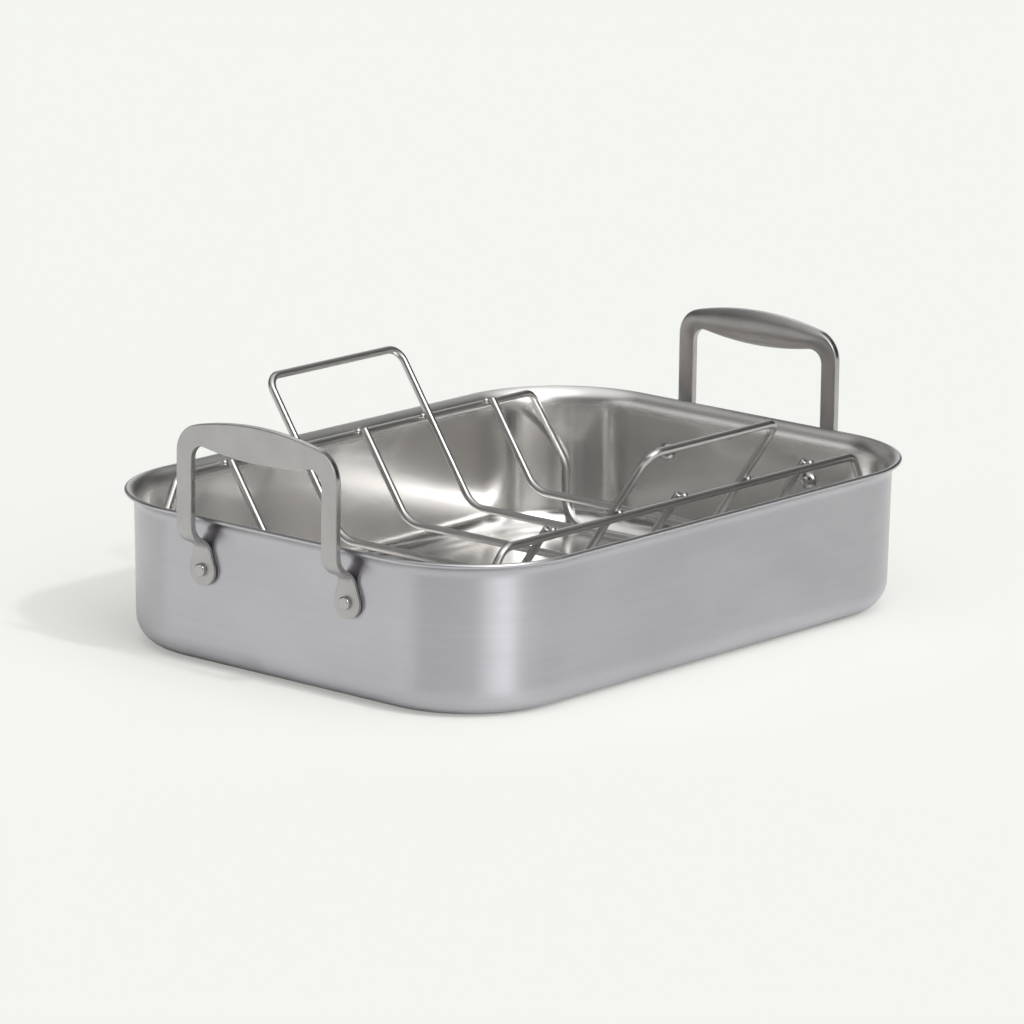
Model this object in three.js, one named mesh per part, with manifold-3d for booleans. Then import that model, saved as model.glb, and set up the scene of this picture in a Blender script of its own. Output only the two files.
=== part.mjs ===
// Roasting pan with a wire rack: drawn pan, two riveted cast handles and a V rack that lifts out.
// Millimetres, +Z up. The origin is the middle of the pan's underside, X runs from handle to handle.

import * as THREE from 'three';
import { mergeVertices } from 'three/addons/utils/BufferGeometryUtils.js';
import Module from 'manifold-3d';

const wasm = await Module();
wasm.setup();

const degrees = THREE.MathUtils.degToRad;

// Pan
const PAN_LENGTH = 410;
const PAN_WIDTH = 301;
const PAN_HEIGHT = 87;
const PAN_CORNER_RADIUS = 72;
const PAN_WALL = 2.6;
const BASE_FILLET = 16;
const WALL_TAPER = Math.tan(degrees(1));
const FLARE_RUN = 4.6;
const FLARE_HEIGHT = 6.5;
const FLARE_TURN = degrees(70);
const CORNER_STEPS = 10;
const FILLET_STEPS = 5;
const FLARE_STEPS = 5;
const LIP_STEPS = 4;

// Handles
const HANDLE_OUTER_WIDTH = 117;
const HANDLE_OPENING_WIDTH = 95.6;
const HANDLE_RISE = 59.2;
const HANDLE_STAND_OFF = 17;
const GRIP_HEIGHT = 20;
const GRIP_TOP_RADIUS = 200;
const GRIP_UNDER_RADIUS = 220;
const OUTER_CORNER_RADIUS = 17;
const INNER_CORNER_RADIUS = 8;
const LEG_DEPTH = 4.7;
const LEG_CROWN = 0.5;
const LEG_DRAFT = 1.1;
const GRIP_SIDE_DEPTH = 4.8;
const GRIP_CROWN = 5;
const HANDLE_EDGE = 0.6;
const BLUNT_EDGE = 0.1;
const LEG_BLEND_LENGTH = 12;
const BEND_STEPS = 7;
const GRIP_STEPS = 6;
const CROWN_STEPS = 6;

// Handle feet, heights below the rim
const FOOT_TOP_DROP = 1;
const BEND_START_DROP = 2;
const BEND_HEEL_DROP = 11.5;
const BEND_UNDER_DROP = 14.7;
const SADDLE_HEEL_DROP = 12;
const SADDLE_WALL_DROP = 14.2;
const EAR_NECK_DROP = 16.5;
const EAR_FRONT_DROP = 21;
const RIVET_DROP = 30.5;
const LEG_NARROWS_DROP = 9;
const EAR_NECK_WIDTH = 9.4;
const EAR_RADIUS = 9.2;
const EAR_THICKNESS = 2.8;
const FOOT_STEPS = 5;
const EAR_STEPS = 10;

// Rivets
const RIVET_SHANK_RADIUS = 2.6;
const RIVET_HEAD_RADIUS = 3.7;
const RIVET_HEAD_HEIGHT = 2;
const RIVET_HEAD_ROUND = 0.8;
const RIVET_DOME_RADIUS = 5.3;
const RIVET_DOME_HEIGHT = 3.4;
const RIVET_SIDES = 16;
const DOME_STEPS = 4;

// Rack
const WIRE_DIAMETER = 4.5;
const WIRE_SIDES = 8;
const BEND_STEP = degrees(16);
const LEG_WALL_GAP = 1.6;
const LEG_BEARING = degrees(39.3);
const END_SPREAD = 27.8;
const RAIL_OUTSET = 4.3;
const RAIL_ABOVE_RIM = 2.2;
const KINK_DROP = 46;
const RACK_CORNER_BEND = 10;
const KINK_BEND = 22;
const FOOT_BEND = 18;
const V_SLOPE = degrees(55.6);
const V_DEPTH = 46.6;
const V_BEND = 18;
const CROSS_WIRE_PITCH = 55.7;
const CROSS_WIRE_TIP = 1;
const LOOP_RISE = 38.5;
const LOOP_BEND = 9;

// Fits
const GAP = 0.3;

// Places worked out from the sizes above
const flareTangent = new THREE.Vector2(
  (FLARE_RUN * Math.sin(FLARE_TURN)) / (1 - Math.cos(FLARE_TURN)),
  (FLARE_HEIGHT * Math.cos(FLARE_TURN)) / Math.sin(FLARE_TURN),
).normalize();
const lipReach = (PAN_WALL / 2) * (1 - flareTangent.y);
const rimOverhang = FLARE_RUN + lipReach;
const flareTopZ = PAN_HEIGHT - PAN_WALL * flareTangent.x;
const flareStartZ = flareTopZ - FLARE_HEIGHT;
const wallInset = (z) => rimOverhang + WALL_TAPER * (flareStartZ - z);
const endWallX = (z) => PAN_LENGTH / 2 - wallInset(z);
const legCentreY = (HANDLE_OUTER_WIDTH + HANDLE_OPENING_WIDTH) / 4;
const legWidth = (HANDLE_OUTER_WIDTH - HANDLE_OPENING_WIDTH) / 2;
const handleFrontX = endWallX(flareStartZ) + HANDLE_STAND_OFF;
const rivetZ = PAN_HEIGHT - RIVET_DROP;
const earBackX = endWallX(rivetZ) + GAP;
const earFrontX = earBackX + EAR_THICKNESS;
const wireRadius = WIRE_DIAMETER / 2;

// A closed geometry as a solid, with its faces turned outwards.
function solidOf(geometry) {
  const bare = geometry.clone();
  bare.deleteAttribute('normal');
  bare.deleteAttribute('uv');
  const merged = mergeVertices(bare, 1e-4);
  const positions = merged.getAttribute('position');
  const triangles = Array.from(merged.getIndex().array);
  const corner = (i) => new THREE.Vector3().fromBufferAttribute(positions, i);
  let volume = 0;
  for (let i = 0; i < triangles.length; i += 3) {
    const [a, b, c] = [corner(triangles[i]), corner(triangles[i + 1]), corner(triangles[i + 2])];
    volume += a.dot(b.cross(c));
  }
  if (volume < 0) triangles.reverse();
  return new wasm.Manifold(new wasm.Mesh({
    numProp: 3,
    vertProperties: new Float32Array(positions.array),
    triVerts: new Uint32Array(triangles),
  }));
}

function geometryOf(solid) {
  const mesh = solid.getMesh();
  const geometry = new THREE.BufferGeometry();
  geometry.setAttribute('position', new THREE.BufferAttribute(new Float32Array(mesh.vertProperties), 3));
  geometry.setIndex(new THREE.BufferAttribute(new Uint32Array(mesh.triVerts), 1));
  geometry.computeVertexNormals();
  return geometry;
}

// A skin over rings of equal length, capped by the first and the last ring.
function loft(rings) {
  const count = rings[0].length;
  const positions = rings.flat().flatMap((point) => point.toArray());
  const index = [];
  for (let r = 0; r + 1 < rings.length; r += 1) {
    for (let i = 0; i < count; i += 1) {
      const j = (i + 1) % count;
      const [a, b, c, d] = [r * count + i, r * count + j, (r + 1) * count + j, (r + 1) * count + i];
      index.push(a, b, c, a, c, d);
    }
  }
  const last = (rings.length - 1) * count;
  for (let i = 1; i + 1 < count; i += 1) {
    index.push(0, i + 1, i);
    index.push(last, last + i, last + i + 1);
  }
  const geometry = new THREE.BufferGeometry();
  geometry.setAttribute('position', new THREE.Float32BufferAttribute(positions, 3));
  geometry.setIndex(index);
  return geometry;
}

function arcPoints(centre, radius, from, to, steps) {
  const points = [];
  for (let k = 0; k <= steps; k += 1) {
    const angle = from + ((to - from) * k) / steps;
    points.push(new THREE.Vector2(centre.x + radius * Math.cos(angle), centre.y + radius * Math.sin(angle)));
  }
  return points;
}

// The pan's rounded rectangle at one height, drawn in by an inset from the rim's edge.
function panRing(inset, z) {
  const radius = PAN_CORNER_RADIUS - inset;
  const x = PAN_LENGTH / 2 - PAN_CORNER_RADIUS;
  const y = PAN_WIDTH / 2 - PAN_CORNER_RADIUS;
  const corners = [[x, y], [-x, y], [-x, -y], [x, -y]];
  return corners.flatMap(([cx, cy], quarter) => {
    const start = (quarter * Math.PI) / 2;
    const arc = arcPoints(new THREE.Vector2(cx, cy), radius, start, start + Math.PI / 2, CORNER_STEPS);
    return arc.map((point) => new THREE.Vector3(point.x, point.y, z));
  });
}

// The pan's outside line from base to rim: inset, height and the inward normal of each point.
function panOutsideLine() {
  const line = [];
  const filletInset = wallInset(BASE_FILLET) + BASE_FILLET;
  for (let k = 0; k <= FILLET_STEPS; k += 1) {
    const angle = ((Math.PI / 2) * k) / FILLET_STEPS;
    const [s, c] = [Math.sin(angle), Math.cos(angle)];
    line.push({ inset: filletInset - BASE_FILLET * s, z: BASE_FILLET * (1 - c), inward: s, up: c });
  }
  for (let k = 0; k <= FLARE_STEPS; k += 1) {
    const angle = (FLARE_TURN * k) / FLARE_STEPS;
    const out = (FLARE_RUN * Math.sin(angle)) / (1 - Math.cos(FLARE_TURN));
    const rise = (FLARE_HEIGHT * Math.cos(angle)) / Math.sin(FLARE_TURN);
    const size = Math.hypot(out, rise);
    const share = (Math.cos(angle) - Math.cos(FLARE_TURN)) / (1 - Math.cos(FLARE_TURN));
    line.push({
      inset: lipReach + FLARE_RUN * share,
      z: flareStartZ + (FLARE_HEIGHT * Math.sin(angle)) / Math.sin(FLARE_TURN),
      inward: rise / size,
      up: out / size,
    });
  }
  return line;
}

function panBody() {
  const outside = panOutsideLine();
  const rings = outside.map((p) => panRing(p.inset, p.z));
  const end = outside[outside.length - 1];
  const half = PAN_WALL / 2;
  for (let k = 1; k < LIP_STEPS; k += 1) {
    const angle = (Math.PI * k) / LIP_STEPS;
    const across = half * (1 - Math.cos(angle));
    const along = half * Math.sin(angle);
    const inset = end.inset + end.inward * across - end.up * along;
    rings.push(panRing(inset, end.z + end.up * across + end.inward * along));
  }
  for (const p of outside.reverse()) {
    rings.push(panRing(p.inset + PAN_WALL * p.inward, p.z + PAN_WALL * p.up));
  }
  let pan = solidOf(loft(rings));
  for (const turn of [0, Math.PI]) {
    for (const side of [-1, 1]) {
      const hole = rivetHole();
      hole.translate(endWallX(rivetZ), side * legCentreY, rivetZ);
      hole.rotateZ(turn);
      pan = pan.subtract(solidOf(hole));
    }
  }
  return geometryOf(pan);
}

function rivetHole() {
  const length = 4 * (EAR_THICKNESS + PAN_WALL);
  const hole = new THREE.CylinderGeometry(
    RIVET_SHANK_RADIUS + GAP, RIVET_SHANK_RADIUS + GAP, length, RIVET_SIDES);
  return hole.rotateZ(Math.PI / 2);
}

// Outer and inner edge of the handle's front face, paired along one half from the leg's foot to mid grip.
function handleHalfOutline() {
  const topZ = PAN_HEIGHT + HANDLE_RISE;
  const underZ = topZ - GRIP_HEIGHT;
  const outerY = HANDLE_OUTER_WIDTH / 2;
  const innerY = HANDLE_OPENING_WIDTH / 2;
  const footZ = PAN_HEIGHT - FOOT_TOP_DROP - BEND_START_DROP / 2;
  const blendZ = footZ + LEG_BLEND_LENGTH;

  const crown = new THREE.Vector2(0, topZ - GRIP_TOP_RADIUS);
  const outerY0 = outerY - OUTER_CORNER_RADIUS;
  const outerReach = Math.sqrt((GRIP_TOP_RADIUS - OUTER_CORNER_RADIUS) ** 2 - outerY0 ** 2);
  const outerBend = new THREE.Vector2(outerY0, crown.y + outerReach);
  const outerTurn = Math.atan2(outerReach, outerY0);

  const belly = new THREE.Vector2(0, underZ + GRIP_UNDER_RADIUS);
  const innerY0 = innerY - INNER_CORNER_RADIUS;
  const innerReach = Math.sqrt((GRIP_UNDER_RADIUS + INNER_CORNER_RADIUS) ** 2 - innerY0 ** 2);
  const innerBend = new THREE.Vector2(innerY0, belly.y - innerReach);
  const innerTurn = Math.atan2(innerReach, -innerY0);

  const outer = [
    new THREE.Vector2(outerY, footZ),
    new THREE.Vector2(outerY, blendZ),
    ...arcPoints(outerBend, OUTER_CORNER_RADIUS, 0, outerTurn, BEND_STEPS),
    ...arcPoints(crown, GRIP_TOP_RADIUS, outerTurn, Math.PI / 2, GRIP_STEPS).slice(1),
  ];
  const inner = [
    new THREE.Vector2(innerY, footZ),
    new THREE.Vector2(innerY, blendZ),
    ...arcPoints(innerBend, INNER_CORNER_RADIUS, 0, innerTurn, BEND_STEPS),
    ...arcPoints(belly, GRIP_UNDER_RADIUS, innerTurn - Math.PI, -Math.PI / 2, GRIP_STEPS).slice(1),
  ];
  const legStations = 2;
  return outer.map((point, i) => ({
    outer: point,
    inner: inner[i],
    blunt: i === 0,
    grip: THREE.MathUtils.smoothstep((i - legStations) / (BEND_STEPS + GRIP_STEPS), 0, 1),
  }));
}

// One cross-section of the handle loop: flat front, drafted sides, crowned back towards the pan.
function handleSection({ outer, inner, blunt, grip }) {
  const width = outer.distanceTo(inner);
  const across = outer.clone().sub(inner).divideScalar(width);
  const middle = outer.clone().add(inner).multiplyScalar(0.5);
  const edge = blunt ? BLUNT_EDGE : HANDLE_EDGE;
  const draft = blunt ? BLUNT_EDGE : LEG_DRAFT;
  const crown = blunt ? BLUNT_EDGE : THREE.MathUtils.lerp(LEG_CROWN, GRIP_CROWN, grip);
  const legSide = LEG_DEPTH - (blunt ? BLUNT_EDGE : LEG_CROWN);
  const side = THREE.MathUtils.lerp(legSide, GRIP_SIDE_DEPTH, grip);
  const half = width / 2;
  const points = [[-half, edge], [edge - half, 0], [half - edge, 0], [half, edge]];
  for (let k = 0; k <= CROWN_STEPS; k += 1) {
    const angle = (Math.PI * k) / CROWN_STEPS;
    points.push([(half - draft) * Math.cos(angle), side + crown * Math.sin(angle)]);
  }
  return points.map(([w, depth]) => {
    const place = middle.clone().addScaledVector(across, w);
    return new THREE.Vector3(handleFrontX - depth, place.x, place.y);
  });
}

function handleLoop() {
  const half = handleHalfOutline();
  const mirrored = half.slice(0, -1).reverse().map((station) => ({
    ...station,
    outer: new THREE.Vector2(-station.outer.x, station.outer.y),
    inner: new THREE.Vector2(-station.inner.x, station.inner.y),
  }));
  return loft([...half, ...mirrored].map(handleSection));
}

// Side view of a foot: the leg bends to the wall and the ear hangs below the bend.
function footSideView() {
  const below = (drop) => PAN_HEIGHT - drop;
  const legBackX = handleFrontX - LEG_DEPTH;
  const saddleZ = below(SADDLE_WALL_DROP);
  const bottomZ = rivetZ - 2 * EAR_RADIUS;
  const bendMiddleX = (legBackX + earFrontX) / 2;
  const shape = new THREE.Shape();
  shape.moveTo(handleFrontX, below(FOOT_TOP_DROP));
  shape.lineTo(handleFrontX, below(BEND_START_DROP));
  shape.quadraticCurveTo(handleFrontX, below(BEND_HEEL_DROP), bendMiddleX, below(BEND_UNDER_DROP));
  shape.quadraticCurveTo(earFrontX, below(EAR_NECK_DROP), earFrontX, below(EAR_FRONT_DROP));
  shape.lineTo(earFrontX, bottomZ);
  shape.lineTo(endWallX(bottomZ) + GAP, bottomZ);
  shape.lineTo(endWallX(saddleZ) + GAP, saddleZ);
  shape.quadraticCurveTo(legBackX, below(SADDLE_HEEL_DROP), legBackX, below(BEND_START_DROP));
  shape.lineTo(legBackX, below(FOOT_TOP_DROP));
  shape.closePath();
  return shape;
}

// Front view of a foot: straight leg, a narrower neck, then a teardrop ear round the rivet.
function footFrontView() {
  const half = legWidth / 2;
  const neck = EAR_NECK_WIDTH / 2;
  const neckZ = PAN_HEIGHT - EAR_NECK_DROP;
  const narrowsZ = PAN_HEIGHT - LEG_NARROWS_DROP;
  const topZ = PAN_HEIGHT + FOOT_TOP_DROP;
  const reach = Math.hypot(neck, neckZ - rivetZ);
  const tangent = Math.atan2(neckZ - rivetZ, -neck) + Math.acos(EAR_RADIUS / reach);
  const shape = new THREE.Shape();
  shape.moveTo(-half, topZ);
  shape.lineTo(-half, narrowsZ);
  shape.lineTo(-neck, neckZ);
  shape.absarc(0, rivetZ, EAR_RADIUS, tangent, 3 * Math.PI - tangent, false);
  shape.lineTo(neck, neckZ);
  shape.lineTo(half, narrowsZ);
  shape.lineTo(half, topZ);
  shape.closePath();
  return shape;
}

function handle() {
  const width = 4 * EAR_RADIUS;
  const side = new THREE.ExtrudeGeometry(footSideView(), {
    depth: width, bevelEnabled: false, curveSegments: FOOT_STEPS,
  });
  side.rotateX(Math.PI / 2).translate(0, width / 2, 0);
  const reach = 2 * HANDLE_STAND_OFF;
  const front = new THREE.ExtrudeGeometry(footFrontView(), {
    depth: reach, bevelEnabled: false, curveSegments: EAR_STEPS,
  });
  const toFrontView = new THREE.Matrix4().makeBasis(
    new THREE.Vector3(0, 1, 0), new THREE.Vector3(0, 0, 1), new THREE.Vector3(1, 0, 0));
  front.applyMatrix4(toFrontView).translate(handleFrontX - 1.5 * HANDLE_STAND_OFF, 0, 0);
  const hole = rivetHole().translate(earBackX, 0, rivetZ);
  const foot = solidOf(side).intersect(solidOf(front)).subtract(solidOf(hole));
  let casting = solidOf(handleLoop());
  for (const end of [-1, 1]) casting = casting.add(foot.translate([0, end * legCentreY, 0]));
  return geometryOf(casting);
}

// A rivet on the X axis: domed head against the inside of the wall, low flat head on the ear.
function rivet() {
  const wallX = endWallX(rivetZ);
  const domeX = wallX - PAN_WALL - GAP;
  const headX = earFrontX + GAP;
  const topX = headX + RIVET_HEAD_HEIGHT;
  const profile = [];
  for (let k = 0; k <= DOME_STEPS; k += 1) {
    const angle = ((Math.PI / 2) * k) / DOME_STEPS;
    profile.push(new THREE.Vector2(
      RIVET_DOME_RADIUS * Math.sin(angle), domeX - RIVET_DOME_HEIGHT * Math.cos(angle)));
  }
  profile.push(new THREE.Vector2(RIVET_SHANK_RADIUS, domeX));
  profile.push(new THREE.Vector2(RIVET_SHANK_RADIUS, headX));
  profile.push(new THREE.Vector2(RIVET_HEAD_RADIUS, headX));
  profile.push(new THREE.Vector2(RIVET_HEAD_RADIUS, topX - RIVET_HEAD_ROUND));
  profile.push(new THREE.Vector2(RIVET_HEAD_RADIUS - RIVET_HEAD_ROUND / 3, topX - RIVET_HEAD_ROUND / 3));
  profile.push(new THREE.Vector2(RIVET_HEAD_RADIUS - RIVET_HEAD_ROUND, topX));
  profile.push(new THREE.Vector2(0, topX));
  profile[0].x = 0;
  return geometryOf(solidOf(new THREE.LatheGeometry(profile, RIVET_SIDES).rotateZ(-Math.PI / 2)));
}

// A bent wire's centre line: straight runs between corners, each corner rounded by its bend radius.
class WirePath extends THREE.Curve {
  constructor(corners, closed) {
    super();
    this.closed = closed;
    this.stations = [];
    const count = corners.length;
    corners.forEach(({ point, bend }, i) => {
      const before = corners[(i + count - 1) % count].point;
      const after = corners[(i + 1) % count].point;
      const into = point.clone().sub(before).normalize();
      const out = after.clone().sub(point).normalize();
      if (!closed && i === 0) this.stations.push({ point, tangent: out });
      else if (!closed && i === count - 1) this.stations.push({ point, tangent: into });
      else this.addBend(point, bend, into, out);
    });
    this.segments = closed ? this.stations.length : this.stations.length - 1;
  }

  addBend(point, bend, into, out) {
    const turn = into.angleTo(out);
    const side = out.clone().addScaledVector(into, -into.dot(out)).normalize();
    const start = point.clone().addScaledVector(into, -bend * Math.tan(turn / 2));
    const steps = Math.ceil(turn / BEND_STEP);
    for (let k = 0; k <= steps; k += 1) {
      const angle = (turn * k) / steps;
      const [s, c] = [Math.sin(angle), Math.cos(angle)];
      this.stations.push({
        point: start.clone().addScaledVector(into, bend * s).addScaledVector(side, bend * (1 - c)),
        tangent: into.clone().multiplyScalar(c).addScaledVector(side, s),
      });
    }
  }

  stationAt(t) {
    return this.stations[Math.round(t * this.segments) % this.stations.length];
  }

  getPoint(t, target = new THREE.Vector3()) {
    return target.copy(this.stationAt(t).point);
  }

  getPointAt(t, target) {
    return this.getPoint(t, target);
  }

  getTangentAt(t, target = new THREE.Vector3()) {
    return target.copy(this.stationAt(t).tangent);
  }
}

function closedWire(corners) {
  const path = new WirePath(corners, true);
  return geometryOf(solidOf(new THREE.TubeGeometry(path, path.segments, wireRadius, WIRE_SIDES, true)));
}

function openWire(corners) {
  const path = new WirePath(corners, false);
  const section = new THREE.Shape(arcPoints(new THREE.Vector2(), wireRadius, 0, 2 * Math.PI, WIRE_SIDES).slice(1));
  return geometryOf(solidOf(new THREE.ExtrudeGeometry(section, {
    steps: path.segments, extrudePath: path, bevelEnabled: false,
  })));
}

const corner = (x, y, z, bend) => ({ point: new THREE.Vector3(x, y, z), bend });

// Rack places: the legs stand in the pan's rounded corners, the rails follow from the legs
const legCircle = PAN_CORNER_RADIUS - wallInset(BASE_FILLET) - PAN_WALL - wireRadius - LEG_WALL_GAP;
const rackLegX = PAN_LENGTH / 2 - PAN_CORNER_RADIUS + legCircle * Math.cos(LEG_BEARING);
const rackLegY = PAN_WIDTH / 2 - PAN_CORNER_RADIUS + legCircle * Math.sin(LEG_BEARING);
const rackFootZ = PAN_WALL + GAP + wireRadius;
const railX = rackLegX - END_SPREAD;
const railY = rackLegY + RAIL_OUTSET;
const railZ = PAN_HEIGHT + RAIL_ABOVE_RIM;
const kinkZ = railZ - KINK_DROP;

// Cross wires lie on the inner side of the rails, a gap away
const seat = WIRE_DIAMETER + GAP;
const crossY = railY - seat * Math.sin(V_SLOPE);
const crossZ = railZ + seat * Math.cos(V_SLOPE);
const flatZ = railZ - V_DEPTH;
const onSlope = (z) => crossY + (z - crossZ) / Math.tan(V_SLOPE);

function rackFrameWire() {
  const end = (x, y) => [
    corner(x * railX, y * railY, railZ, RACK_CORNER_BEND),
    corner(x * rackLegX, y * rackLegY, kinkZ, KINK_BEND),
    corner(x * rackLegX, y * rackLegY, rackFootZ, FOOT_BEND),
  ];
  return closedWire([
    ...end(1, 1), ...end(1, -1).reverse(), ...end(-1, -1), ...end(-1, 1).reverse(),
  ]);
}

function rackCarrierLoop() {
  const loopZ = railZ + LOOP_RISE;
  const half = (x, y) => [
    corner(x * CROSS_WIRE_PITCH, y * onSlope(loopZ), loopZ, LOOP_BEND),
    corner(x * CROSS_WIRE_PITCH, y * onSlope(flatZ), flatZ, V_BEND),
  ];
  return closedWire([
    ...half(1, 1), ...half(1, -1).reverse(), ...half(-1, -1), ...half(-1, 1).reverse(),
  ]);
}

function rackCrossWire(x) {
  const tipZ = crossZ + CROSS_WIRE_TIP * Math.sin(V_SLOPE);
  return openWire([
    corner(x, onSlope(tipZ), tipZ, 0),
    corner(x, onSlope(flatZ), flatZ, V_BEND),
    corner(x, -onSlope(flatZ), flatZ, V_BEND),
    corner(x, -onSlope(tipZ), tipZ, 0),
  ]);
}

const brushedSteel = { color: 0xb4b4b8, roughness: 0.38, metalness: 1 };
const castSteel = { color: 0xaaa8a6, roughness: 0.45, metalness: 1 };
const polishedSteel = { color: 0xc8c8c8, roughness: 0.15, metalness: 1 };

function piece(name, geometry, finish) {
  const mesh = new THREE.Mesh(geometry, new THREE.MeshStandardMaterial(finish));
  mesh.name = name;
  return mesh;
}

function handleEnd(sideName, turn) {
  const group = new THREE.Group();
  group.add(piece(`handle_${sideName}`, handle(), castSteel));
  for (const [place, side] of [['front', -1], ['rear', 1]]) {
    const fixing = piece(`rivet_${sideName}_${place}`, rivet(), polishedSteel);
    fixing.position.set(0, Math.cos(turn) * side * legCentreY, rivetZ);
    group.add(fixing);
  }
  group.rotation.z = turn;
  return group;
}

function rack() {
  const group = new THREE.Group();
  group.add(piece('rack_frame_wire', rackFrameWire(), polishedSteel));
  group.add(piece('rack_carrier_loop', rackCarrierLoop(), polishedSteel));
  const places = { left: -2, middle: 0, right: 2 };
  for (const [place, step] of Object.entries(places)) {
    group.add(piece(`rack_cross_wire_${place}`, rackCrossWire(step * CROSS_WIRE_PITCH), polishedSteel));
  }
  return group;
}

const roastingPan = new THREE.Group();
roastingPan.add(piece('pan_body', panBody(), brushedSteel));
roastingPan.add(handleEnd('right', 0));
roastingPan.add(handleEnd('left', Math.PI));
roastingPan.add(rack());

export default roastingPan;
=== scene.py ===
# Roasting pan with a wire rack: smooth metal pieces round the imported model, studio light and camera.
# Metres, +Z up. The origin is the middle of the pan's underside, X runs from handle to handle.

import math
from collections import namedtuple

import bmesh
import bpy
from mathutils import Matrix, Vector


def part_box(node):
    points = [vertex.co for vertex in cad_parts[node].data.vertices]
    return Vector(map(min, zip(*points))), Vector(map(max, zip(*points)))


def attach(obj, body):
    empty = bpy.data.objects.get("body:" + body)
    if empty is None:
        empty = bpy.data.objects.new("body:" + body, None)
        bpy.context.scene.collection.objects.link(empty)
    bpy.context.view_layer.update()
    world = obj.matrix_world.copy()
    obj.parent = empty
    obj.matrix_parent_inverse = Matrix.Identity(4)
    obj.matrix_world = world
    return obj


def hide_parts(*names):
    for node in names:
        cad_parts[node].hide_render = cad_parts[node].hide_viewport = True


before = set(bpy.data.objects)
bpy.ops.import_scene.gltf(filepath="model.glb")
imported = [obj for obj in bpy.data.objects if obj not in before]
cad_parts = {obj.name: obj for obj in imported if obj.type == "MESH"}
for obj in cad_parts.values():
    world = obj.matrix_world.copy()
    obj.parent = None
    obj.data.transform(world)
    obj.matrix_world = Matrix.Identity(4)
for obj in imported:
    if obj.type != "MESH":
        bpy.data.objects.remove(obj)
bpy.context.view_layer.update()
bpy.ops.object.select_all(action="DESELECT")

MM = 0.001
ORIGIN = Vector((0, 0, 0))

# Sizes read from the frame
_, pan_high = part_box("pan_body")
_, handle_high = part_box("handle_right")
rivet_low, rivet_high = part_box("rivet_right_rear")
frame_wire_low, frame_wire_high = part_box("rack_frame_wire")
loop_low, loop_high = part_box("rack_carrier_loop")
cross_low, cross_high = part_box("rack_cross_wire_right")

# Pan
PAN_CORNER_RADIUS = 72 * MM
PAN_WALL = 2.6 * MM
BASE_FILLET = 16 * MM
WALL_TAPER = math.tan(math.radians(1))
FLARE_RUN = 4.6 * MM
FLARE_HEIGHT = 6.5 * MM
FLARE_TURN = math.radians(70)
LIP_ROUND = 1.25 * MM
LIP_SEGMENTS = 5
CORNER_SEGMENTS = 28
SIDE_CUTS = 7
FLARE_STEPS = 8
FILLET_STEPS = 10
WALL_SUPPORT = 1.5 * MM
WALL_STEPS = 5

# Handles
LEG_WIDTH = 10.7 * MM
GRIP_HEIGHT = 20 * MM
GRIP_TOP_RADIUS = 200 * MM
GRIP_UNDER_RADIUS = 220 * MM
OUTER_CORNER_RADIUS = 17 * MM
INNER_CORNER_RADIUS = 8 * MM
LEG_SIDE = 4.2 * MM
LEG_CROWN = 0.5 * MM
GRIP_SIDE = 4.8 * MM
GRIP_CROWN = 5 * MM
CROWN_POWER = 0.75
HANDLE_EDGE = 0.55 * MM
HANDLE_EDGE_SEGMENTS = 3
HANDLE_COLUMNS = 8
HANDLE_MERGE = 0.01 * MM
LEG_STEPS = 6
BEND_STEPS = 12
GRIP_STEPS = 10

# Handle feet, heights below the rim
BEND_START_DROP = 2 * MM
BEND_HEEL_DROP = 11.5 * MM
BEND_UNDER_DROP = 14.7 * MM
EAR_NECK_DROP = 16.5 * MM
EAR_FRONT_DROP = 21 * MM
LEG_NARROWS_DROP = 9 * MM
EAR_NECK_WIDTH = 9.4 * MM
EAR_RADIUS = 9.2 * MM
EAR_THICKNESS = 2.8 * MM
EAR_GAP = 0.3 * MM
EAR_STEPS = 9
EAR_TIP_STEP = 0.7
FOOT_STEPS = 7

# Rivets
RIVET_SIDES = 32
RIVET_SHANK_RADIUS = 2.6 * MM
RIVET_HEAD_RADIUS = 3.7 * MM
RIVET_HEAD_HEIGHT = 2 * MM
RIVET_HEAD_ROUND = 0.8 * MM
RIVET_DOME_RADIUS = 5.3 * MM
RIVET_DOME_HEIGHT = 3.4 * MM
DOME_STEPS = 8
ROUND_STEPS = 4

# Rack
WIRE_RADIUS = 2.25 * MM
WIRE_SIDES = 20
WIRE_MERGE = 0.02 * MM
BEND_STEP = math.radians(5)
FEWEST_BEND_STEPS = 2
END_SPREAD = 27.8 * MM
RAIL_OUTSET = 4.3 * MM
KINK_DROP = 46 * MM
RACK_CORNER_BEND = 10 * MM
KINK_BEND = 22 * MM
FOOT_BEND = 18 * MM
V_SLOPE = math.radians(55.6)
V_BEND = 18 * MM
LOOP_BEND = 9 * MM
WIRE_TIP_ROUND = 0.9 * MM
WIRE_TIP_SEGMENTS = 4
WIRE_GAP = 0.3 * MM
BEAD_RADIUS = 1.8 * MM
BEAD_LENGTH = 1.3
BEAD_OFFSET = 2.4 * MM
BEAD_RISE = 0.9 * MM
BEAD_SEGMENTS = 16
BEAD_RINGS = 10

# Finishes by their place in the pan's and the handles' lists
PAN_INSIDE = 1
PAN_LIP = 2
HANDLE_FRONT = 0
HANDLE_SIDE = 1
HANDLE_BACK = 2
BRUSH_TURN = 0.25
PATCH_LOW = 0.3
PATCH_HIGH = 0.7
POLISH_START = 4 * MM
SATIN_BELOW_FLARE = 6 * MM
SATIN_ABOVE_START = 3 * MM

# Angles in degrees up to which edges look smooth
PAN_SMOOTH = 40
HANDLE_SMOOTH = 60
RIVET_SMOOTH = 35
WIRE_SMOOTH = 40
BEAD_SMOOTH = 60

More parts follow.
